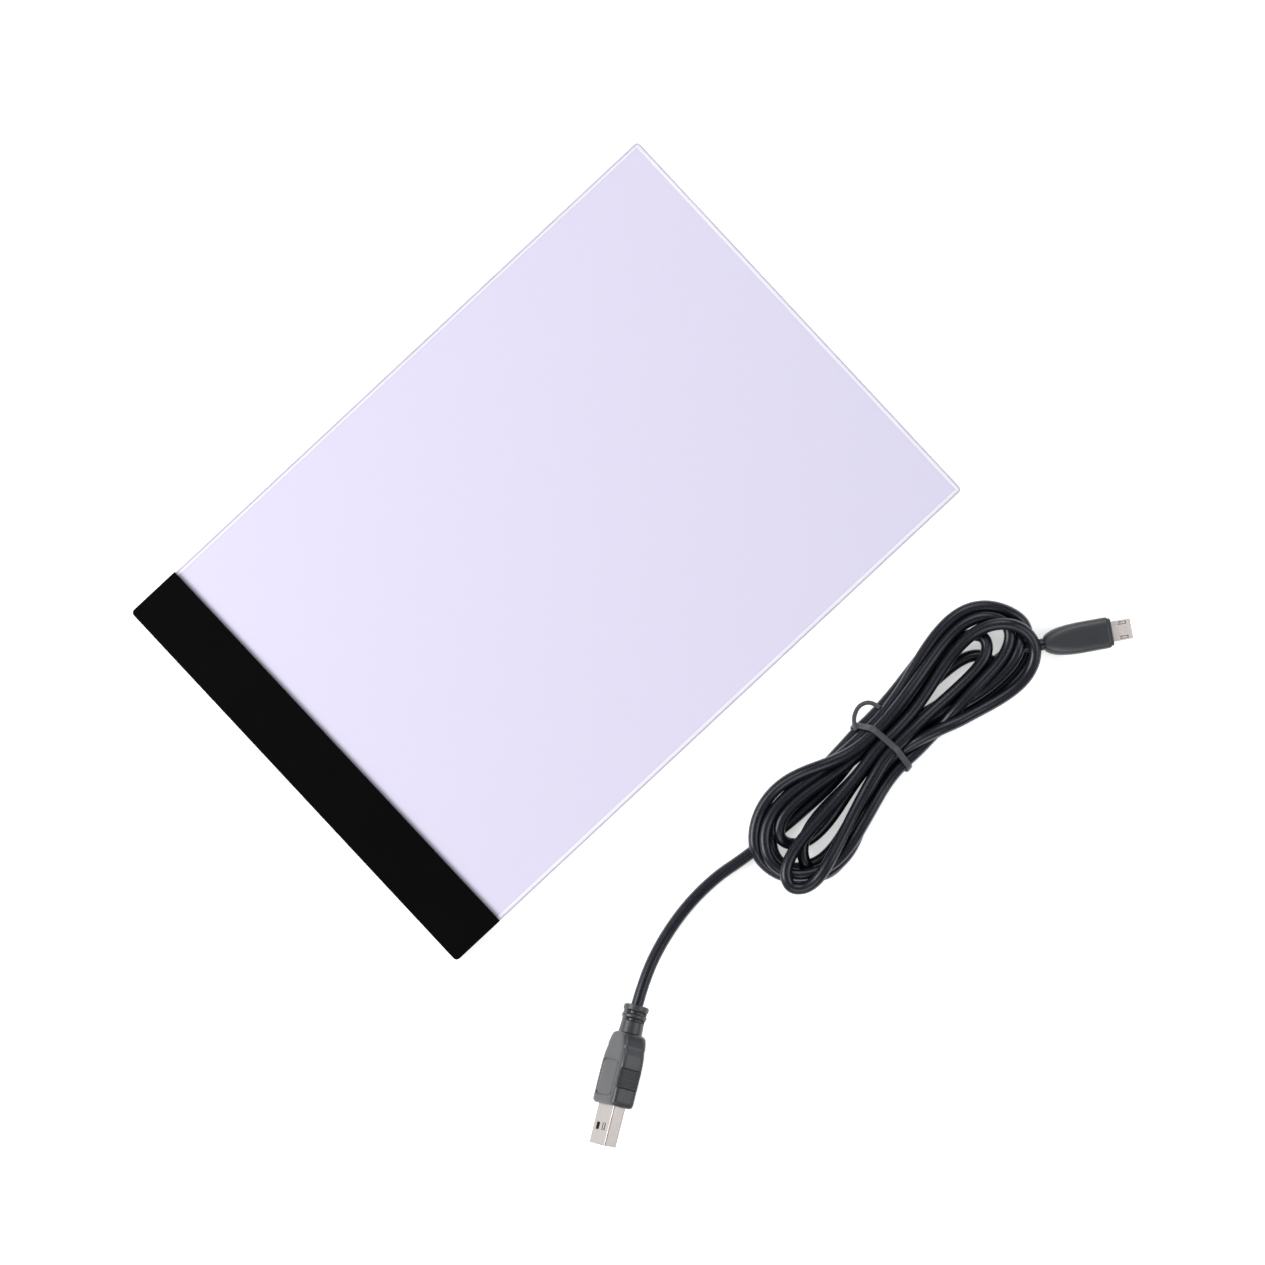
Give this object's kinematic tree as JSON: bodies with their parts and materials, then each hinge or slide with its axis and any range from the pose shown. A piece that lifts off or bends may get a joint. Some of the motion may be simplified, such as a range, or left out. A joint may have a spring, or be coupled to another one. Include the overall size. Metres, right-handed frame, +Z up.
{
  "type": "light box",
  "caption": "Slim rectangular LED tracing pad with a light panel, a black touch strip along one end, and a loose USB lead tied in a hank.",
  "frame": {"origin": "on the supporting surface, below the middle of the pad (without its lead)", "axes": "+X across the pad towards the loose lead, +Y along the pad away from the black strip, +Z up out of the light panel"},
  "size_m": [0.2412, 0.2522, 0.0195],
  "materials": {
    "clear_sheet": "satin clear acrylic sheet",
    "clear_acrylic": "clear acrylic with polished edges",
    "bond_white": "milky adhesive film",
    "diffuser_lilac": "lilac-white film with a very fine dot grain",
    "reflector_white": "white reflective film",
    "back_white": "fine-textured white plastic sheet",
    "tape_black": "black film tape",
    "strip_black": "smooth satin black moulding",
    "screw_steel": "plated steel",
    "foot_rubber": "matt grey-black rubber",
    "board_white": "white solder mask",
    "board_green": "green solder mask",
    "led_cream": "white package with yellow phosphor",
    "chip_black": "moulded epoxy",
    "chip_tan": "ceramic chip",
    "copper_foil": "copper foil",
    "contact_gold": "gold-plated spring strip",
    "wire_yellow": "thin PVC insulation",
    "wire_red": "thin PVC insulation",
    "wire_black": "thin PVC insulation",
    "plug_nickel": "nickel-plated pressed steel",
    "insert_white": "moulded insert",
    "insert_black": "moulded insert",
    "grip_black": "soft matt PVC overmould",
    "cord_black": "smooth PVC cord jacket",
    "tie_black": "thin plastic twist tie over a wire core"
  },
  "bodies": {
    "pad": {"top_sheet": "clear_sheet", "front_bond_frame": "bond_white", "rear_bond_frame": "bond_white", "diffuser_sheet": "diffuser_lilac", "light_guide": "clear_acrylic", "reflector_sheet": "reflector_white", "back_sheet": "back_white", "shading_tape": "tape_black", "strip_top_cover": "strip_black", "strip_bottom_cover": "strip_black", "cover_screws": "screw_steel", "foot_near_left": "foot_rubber", "foot_near_right": "foot_rubber", "foot_far_left": "foot_rubber", "foot_far_right": "foot_rubber", "led_board": "board_white", "led_chips": "led_cream", "driver_board": "board_green", "driver_chip": "chip_black", "inductor": "chip_black", "small_chips": "chip_tan", "touch_chip": "chip_black", "touch_electrode": "copper_foil", "touch_wire": "wire_yellow", "led_wire_red": "wire_red", "led_wire_black": "wire_black", "socket_shell": "plug_nickel", "socket_tongue": "insert_black", "socket_contacts": "contact_gold"},
    "usb_lead": {"usb_a_grip": "grip_black", "usb_a_shell": "plug_nickel", "usb_a_insert": "insert_white", "usb_a_contacts": "contact_gold", "micro_grip": "grip_black", "micro_shell": "plug_nickel", "micro_insert": "insert_black", "micro_contacts": "contact_gold", "cord_tail": "cord_black", "cord_end": "cord_black", "cord_hank": "cord_black", "twist_tie": "tie_black"},
    "latch_left": {"micro_latch_left": "plug_nickel"},
    "latch_right": {"micro_latch_right": "plug_nickel"}
  },
  "joints": [
    {"name": "lead_lift", "type": "slide", "parent": "pad", "child": "usb_lead", "axis": [0, 0, 1], "range_m": [0, 0.1]},
    {"name": "latch_left_flex", "type": "hinge", "parent": "usb_lead", "child": "latch_left", "pos_m": [0.14665, 0.12091, 0.00403], "axis": [-0.8425, 0.5388, 0], "range_deg": [0, 4.5], "stiffness_Nm_per_rad": 0.02},
    {"name": "latch_right_flex", "type": "hinge", "parent": "usb_lead", "child": "latch_right", "pos_m": [0.15078, 0.11827, 0.00403], "axis": [-0.8425, 0.5388, 0], "range_deg": [0, 4.5], "stiffness_Nm_per_rad": 0.02}
  ]
}
